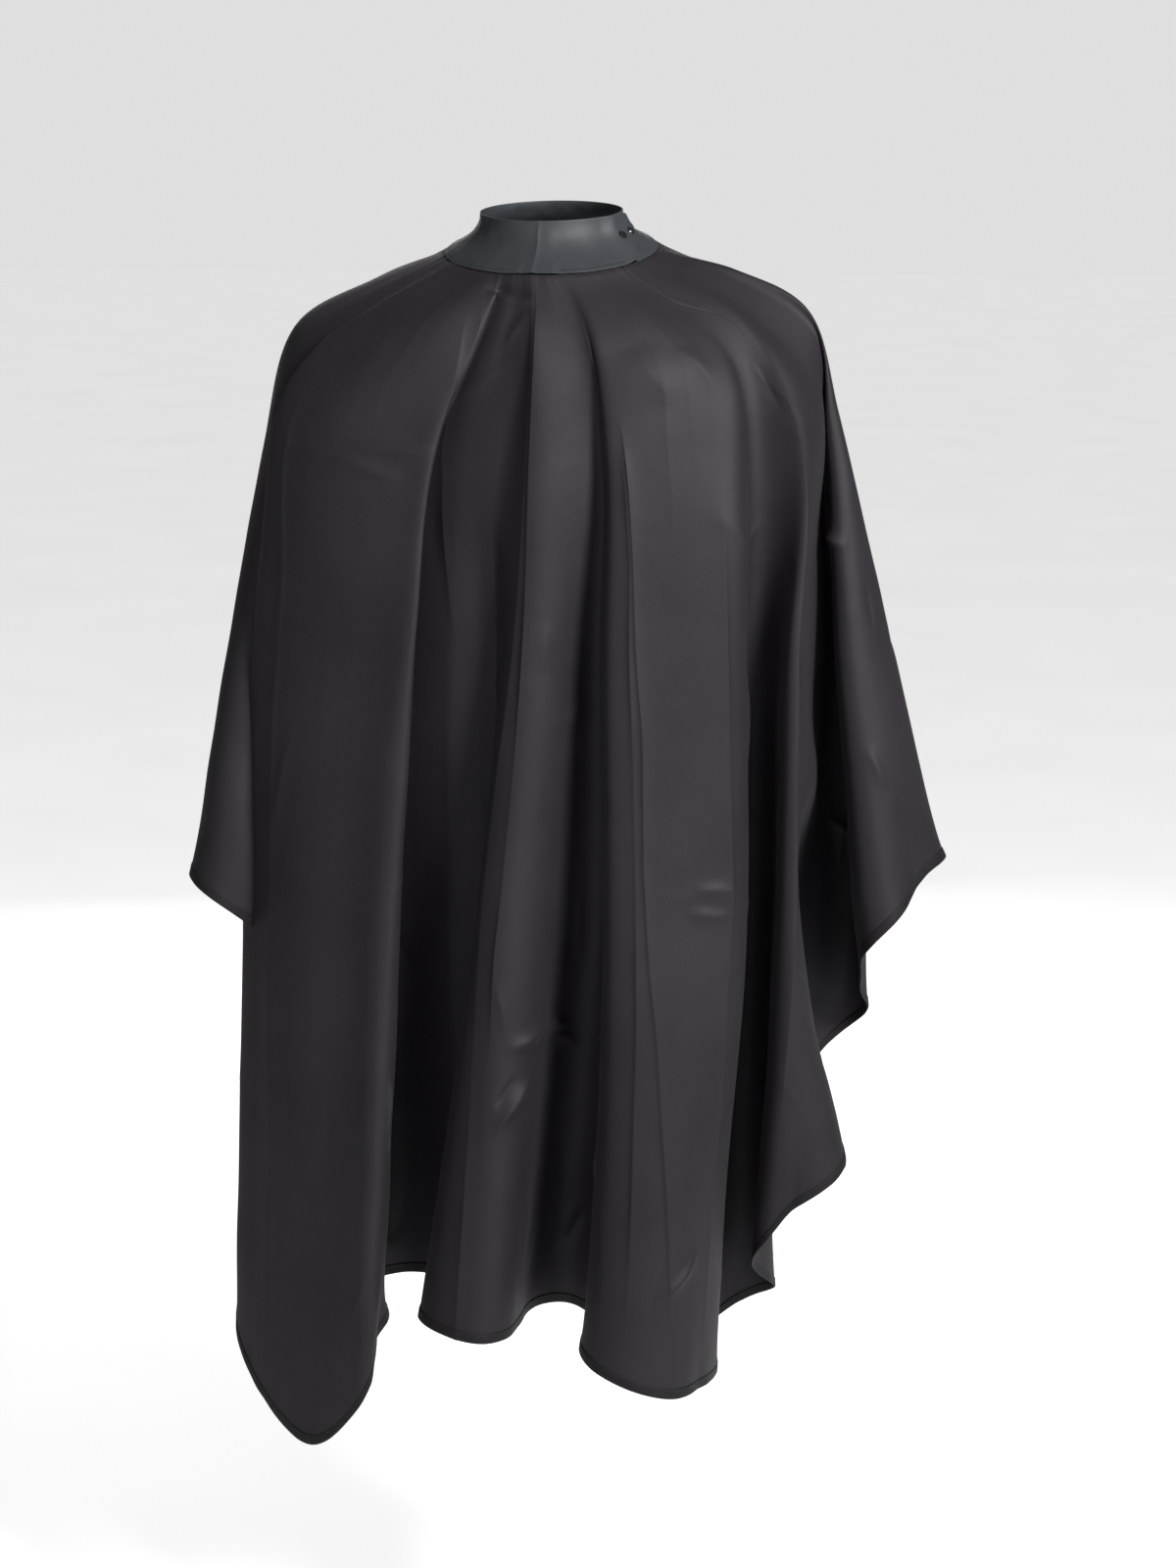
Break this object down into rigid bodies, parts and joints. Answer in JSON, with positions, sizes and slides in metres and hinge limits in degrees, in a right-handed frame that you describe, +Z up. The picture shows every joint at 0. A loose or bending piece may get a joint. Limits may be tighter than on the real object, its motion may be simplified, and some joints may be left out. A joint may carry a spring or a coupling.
{
  "type": "barber cape",
  "caption": "Full-length barber cape hanging in folds, with a flared rubber neckband that closes at the side of the neck with ring snaps, and a bound hem.",
  "frame": {"origin": "centre of the neck opening, level with the top edge of the neckband", "axes": "+Z up, the wearer faces -Y, and +X is the wearer's left"},
  "size_m": [0.7019, 0.4609, 1.1949],
  "materials": {
    "cape_fabric": "satin",
    "binding_fabric": "matte",
    "sewing_thread": "matte",
    "band_rubber": "matte",
    "snap_metal": "gloss",
    "spring_steel": "polished"
  },
  "bodies": {
    "cape": {"cape_cloth": "cape_fabric", "hem_binding": "binding_fabric", "hem_thread": "sewing_thread", "slit_underlay": "cape_fabric", "neckband": "band_rubber", "neck_seam_thread": "sewing_thread", "front_stud": "snap_metal", "rear_stud": "snap_metal", "front_stud_ring": "snap_metal", "rear_stud_ring": "snap_metal"},
    "flap": {"closure_flap": "band_rubber", "front_snap_cap": "snap_metal", "rear_snap_cap": "snap_metal", "front_socket": "snap_metal", "rear_socket": "snap_metal", "front_socket_spring": "spring_steel", "rear_socket_spring": "spring_steel"}
  },
  "joints": [
    {"name": "flap_peel", "type": "hinge", "parent": "cape", "child": "flap", "pos_m": [0.05955, -0.03183, -0.00454], "axis": [0.5611, -0.3022, -0.7706], "range_deg": [0, 75]}
  ]
}
